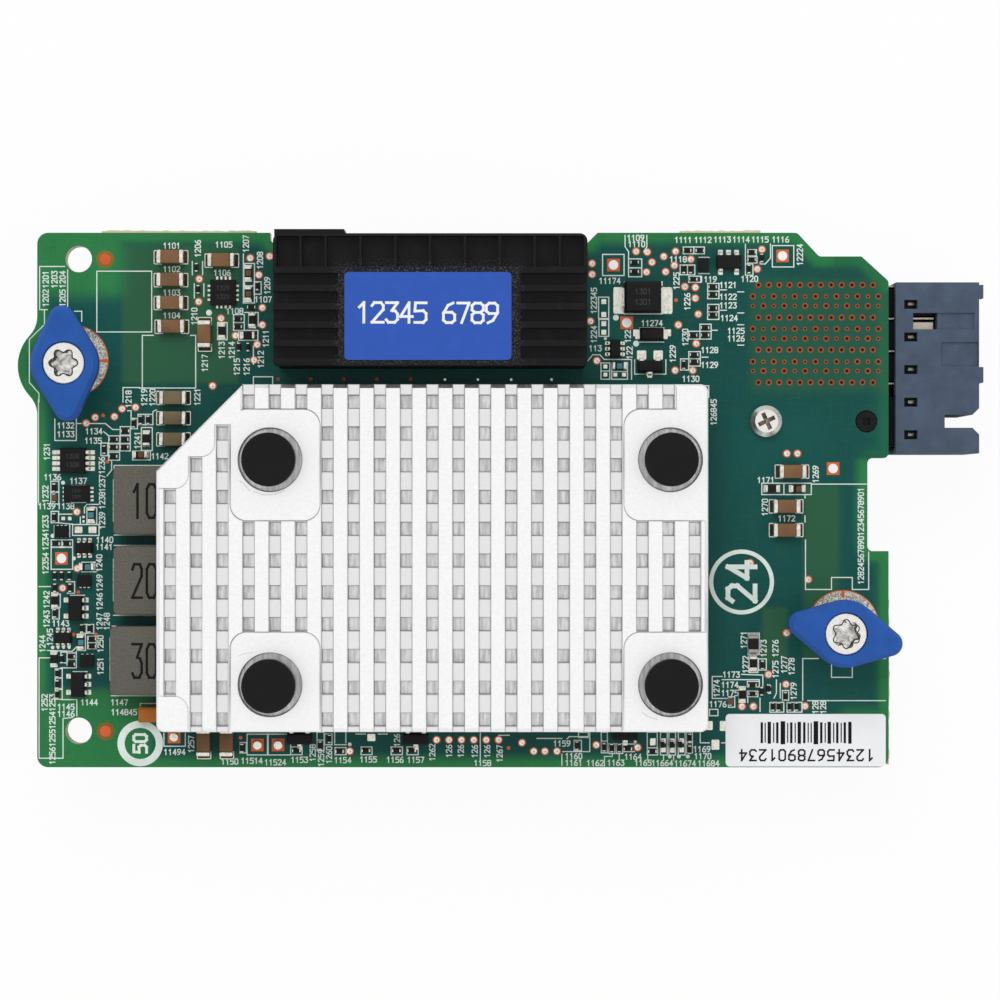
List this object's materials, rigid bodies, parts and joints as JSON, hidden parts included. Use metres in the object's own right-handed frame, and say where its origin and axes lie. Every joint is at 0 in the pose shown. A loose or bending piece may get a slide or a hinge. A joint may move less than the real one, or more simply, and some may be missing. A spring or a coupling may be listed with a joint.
{
  "type": "mezzanine network card",
  "caption": "Small server expansion board with a slotted heat sink, a push-down cap over its board connector, a right-angle rear connector and captive wing screws.",
  "frame": {"origin": "middle of the bounding box in X and Y, at the level of the lower ends of the standoffs and of both connectors", "axes": "+X along the card to the rear connector, +Y to the press cap edge, +Z out of the component side"},
  "size_m": [0.114, 0.0632, 0.0222],
  "materials": {
    "solder_mask": "satin green solder mask over glass laminate",
    "aluminium": "bare machined",
    "black_nylon": "moulded nylon",
    "spring_steel": "bright wire",
    "chip_substrate": "green laminate",
    "nickel_lid": "nickel plated",
    "thermal_pad": "soft grey silicone",
    "black_moulding": "fine-grained moulding",
    "slate_moulding": "glass-filled moulding",
    "blue_moulding": "satin moulding",
    "blue_label": "printed film",
    "white_label": "coated paper",
    "contact_blade": "moulded blade with gold pads",
    "contact_metal": "tin and gold over copper alloy",
    "plated_steel": "nickel plated",
    "pressed_iron": "pressed iron powder",
    "tin": "matt tin",
    "ceramic": "fired ceramic",
    "orange_ceramic": "moulded ochre case",
    "chip_black": "glazed black",
    "mould_epoxy": "moulded epoxy"
  },
  "bodies": {
    "card": {"circuit_board": "solder_mask", "heat_sink": "aluminium", "push_pins": "black_nylon", "pin_springs": "spring_steel", "controller_substrate": "chip_substrate", "controller_lid": "nickel_lid", "thermal_pad": "thermal_pad", "press_cap": "black_moulding", "cap_label": "blue_label", "mezzanine_housing": "black_moulding", "mezzanine_blades": "contact_blade", "rear_housing": "slate_moulding", "rear_wafers": "black_moulding", "rear_shields": "contact_metal", "ground_strip": "contact_metal", "guide_block": "black_moulding", "rear_screw": "plated_steel", "left_standoff": "plated_steel", "right_standoff": "plated_steel", "inductor_1": "pressed_iron", "inductor_2": "pressed_iron", "inductor_3": "pressed_iron", "inductor_terminals": "tin", "capacitor_bodies": "ceramic", "capacitor_ends": "tin", "orange_capacitor": "orange_ceramic", "chips_0402": "chip_black", "chips_0603": "chip_black", "chip_0805": "chip_black", "underside_chips": "ceramic", "leaded_bodies": "mould_epoxy", "package_leads": "tin", "leadless_packages": "mould_epoxy", "power_diode": "mould_epoxy", "power_diode_leads": "tin", "small_diode": "mould_epoxy", "small_diode_leads": "tin", "serial_label": "white_label"},
    "left_float": {"left_clip": "spring_steel"},
    "left_turn": {"left_screw": "plated_steel", "left_wing": "blue_moulding"},
    "right_float": {"right_clip": "spring_steel"},
    "right_turn": {"right_screw": "plated_steel", "right_wing": "blue_moulding"}
  },
  "joints": [
    {"name": "left_screw_float", "type": "slide", "parent": "card", "child": "left_float", "axis": [0, 0, 1], "range_m": [-0.0026, 0]},
    {"name": "left_screw_turn", "type": "hinge", "parent": "left_float", "child": "left_turn", "pos_m": [-0.05055, 0.01585, 0.012], "axis": [0, 0, 1], "continuous": true},
    {"name": "right_screw_float", "type": "slide", "parent": "card", "child": "right_float", "axis": [0, 0, 1], "range_m": [-0.0026, 0]},
    {"name": "right_screw_turn", "type": "hinge", "parent": "right_float", "child": "right_turn", "pos_m": [0.03997, -0.0155, 0.012], "axis": [0, 0, 1], "continuous": true}
  ]
}
